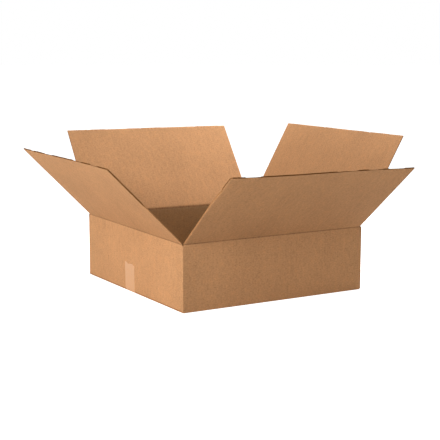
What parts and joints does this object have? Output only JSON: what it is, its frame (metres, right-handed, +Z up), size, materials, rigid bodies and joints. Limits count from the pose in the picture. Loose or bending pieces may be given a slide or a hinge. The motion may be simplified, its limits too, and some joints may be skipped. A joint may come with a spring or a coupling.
{
  "type": "open corrugated cardboard box",
  "caption": "Shallow square corrugated cardboard box, standing on its taped bottom with its top flaps splayed open on their creases.",
  "frame": {"origin": "centre of the base, on the surface that the box stands on", "axes": "+Z up; -Y is the front wall, one of the two that carry the outer flaps; -X is the left wall, where an end of the bottom tape is turned up"},
  "size_m": [0.8284, 0.8583, 0.3833],
  "materials": {
    "kraft_board": "dull brown kraft paper facing over corrugated board, faintly striped by the flutes",
    "packing_tape": "thin tan packing tape, smooth and slightly glossy"
  },
  "bodies": {
    "root": {"box_body": "kraft_board", "bottom_tape": "packing_tape"},
    "front_flap": {"flap_front": "kraft_board"},
    "back_flap": {"flap_back": "kraft_board"},
    "left_flap": {"flap_left": "kraft_board"},
    "right_flap": {"flap_right": "kraft_board"}
  },
  "joints": [
    {"name": "front_crease", "type": "hinge", "parent": "root", "child": "front_flap", "pos_m": [0, -0.258, 0.16315], "axis": [1, 0, 0], "range_deg": [-139.5, 77.5]},
    {"name": "back_crease", "type": "hinge", "parent": "root", "child": "back_flap", "pos_m": [0, 0.258, 0.16315], "axis": [-1, 0, 0], "range_deg": [-124.7, 92.3]},
    {"name": "left_crease", "type": "hinge", "parent": "root", "child": "left_flap", "pos_m": [-0.258, 0, 0.15885], "axis": [0, -1, 0], "range_deg": [-135.1, 81.9]},
    {"name": "right_crease", "type": "hinge", "parent": "root", "child": "right_flap", "pos_m": [0.258, 0, 0.15885], "axis": [0, 1, 0], "range_deg": [-120.4, 96.6]}
  ]
}
